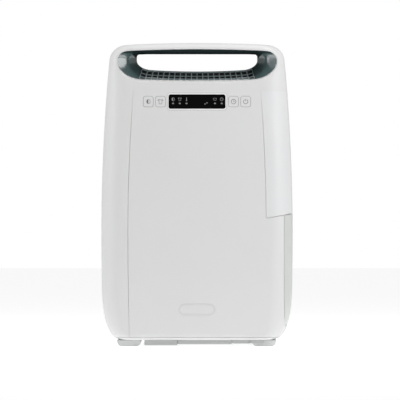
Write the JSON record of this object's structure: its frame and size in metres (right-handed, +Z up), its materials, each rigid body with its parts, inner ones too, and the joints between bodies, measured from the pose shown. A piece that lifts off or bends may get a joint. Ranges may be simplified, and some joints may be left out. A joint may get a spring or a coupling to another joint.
{
  "type": "dehumidifier",
  "caption": "Free-standing compressor dehumidifier with a carry-through handle and air outlet at the top, push-button panel, side-loading water tank and rear filter.",
  "frame": {"origin": "on the floor, under the middle of the body's overall box", "axes": "+Z up, -Y out of the front face with the controls, +X to the right as seen from the front"},
  "size_m": [0.324, 0.215, 0.512],
  "materials": {
    "body_white": "fine satin texture",
    "side_white": "fine satin texture",
    "teal_lining": "polished",
    "grille_teal": "satin",
    "display_black": "polished",
    "bezel_silver": "satin",
    "tank_tint": "translucent, satin outside",
    "lid_grey": "satin",
    "inner_grey": "satin",
    "dark_plastic": "satin",
    "skid_grey": "satin",
    "rubber_grey": "matte",
    "rubber_black": "matte",
    "fin_alu": "bright rolled fins",
    "copper": "drawn copper tube",
    "steel": "zinc plated",
    "black_steel": "black enamel",
    "board_green": "solder resist",
    "filter_mesh": "open nylon mesh",
    "fan_white": "satin"
  },
  "bodies": {
    "housing": {"front_cover": "body_white", "left_side_panel": "body_white", "right_side_panel": "side_white", "rear_cover": "body_white", "base_tray": "body_white", "base_skid": "skid_grey", "rubber_feet": "rubber_grey", "outlet_funnel": "teal_lining", "outlet_grille": "grille_teal", "outlet_duct": "inner_grey", "display_bezel": "bezel_silver", "display_window": "display_black", "display_module": "dark_plastic", "badge": "body_white", "control_board": "board_green", "tact_switches": "dark_plastic", "board_screws": "steel", "bulkhead": "inner_grey", "deck_plate": "inner_grey", "bay_partition": "inner_grey", "drip_tray": "fan_white", "evaporator_coil": "fin_alu", "condenser_coil": "fin_alu", "compressor": "black_steel", "compressor_pump": "steel", "compressor_grommets": "rubber_black", "compressor_bolts": "steel", "accumulator": "black_steel", "discharge_pipe": "copper", "suction_pipe": "copper", "liquid_pipe": "copper", "capillary_tube": "copper", "filter_drier": "copper", "fan_scroll": "inner_grey", "fan_motor": "steel", "power_board": "board_green", "run_capacitor": "steel", "terminal_block": "fan_white", "cord_gland": "rubber_black", "humidity_sensor": "fan_white", "tank_switch": "dark_plastic", "rear_grille": "body_white", "rear_screws": "steel", "drain_spout": "fan_white"},
    "fan": {"fan_wheel": "fan_white", "fan_shaft": "steel"},
    "tank": {"tank_shell": "tank_tint", "tank_panel": "tank_tint", "tank_lid": "lid_grey", "float_pin": "steel"},
    "float": {"tank_float": "fan_white"},
    "filter": {"filter_frame": "dark_plastic", "filter_mesh": "filter_mesh"},
    "drying_key": {"drying_button": "body_white"},
    "laundry_key": {"laundry_button": "body_white"},
    "timer_key": {"timer_button": "body_white"},
    "power_key": {"power_button": "body_white"},
    "plug": {"drain_plug": "rubber_black"}
  },
  "joints": [
    {"name": "fan_spin", "type": "hinge", "parent": "housing", "child": "fan", "pos_m": [-0.005, -0.04, 0.334], "axis": [0, 1, 0], "continuous": true},
    {"name": "tank_slide", "type": "slide", "parent": "housing", "child": "tank", "axis": [1, 0, 0], "range_m": [0, 0.16]},
    {"name": "float_hinge", "type": "hinge", "parent": "tank", "child": "float", "pos_m": [0.07, -0.062, 0.173], "axis": [1, 0, 0], "range_deg": [0, 18]},
    {"name": "filter_slide", "type": "slide", "parent": "housing", "child": "filter", "axis": [0, 0, 1], "range_m": [0, 0.165]},
    {"name": "drying_press", "type": "slide", "parent": "housing", "child": "drying_key", "axis": [0, 1, 0], "range_m": [0, 0.0008], "stiffness_N_per_m": 1500, "springref_m": -0.0004},
    {"name": "laundry_press", "type": "slide", "parent": "housing", "child": "laundry_key", "axis": [0, 1, 0], "range_m": [0, 0.0008], "stiffness_N_per_m": 1500, "springref_m": -0.0004},
    {"name": "timer_press", "type": "slide", "parent": "housing", "child": "timer_key", "axis": [0, 1, 0], "range_m": [0, 0.0008], "stiffness_N_per_m": 1500, "springref_m": -0.0004},
    {"name": "power_press", "type": "slide", "parent": "housing", "child": "power_key", "axis": [0, 1, 0], "range_m": [0, 0.0008], "stiffness_N_per_m": 1500, "springref_m": -0.0004},
    {"name": "plug_slide", "type": "slide", "parent": "housing", "child": "plug", "axis": [0, 1, 0], "range_m": [0, 0.03]}
  ]
}
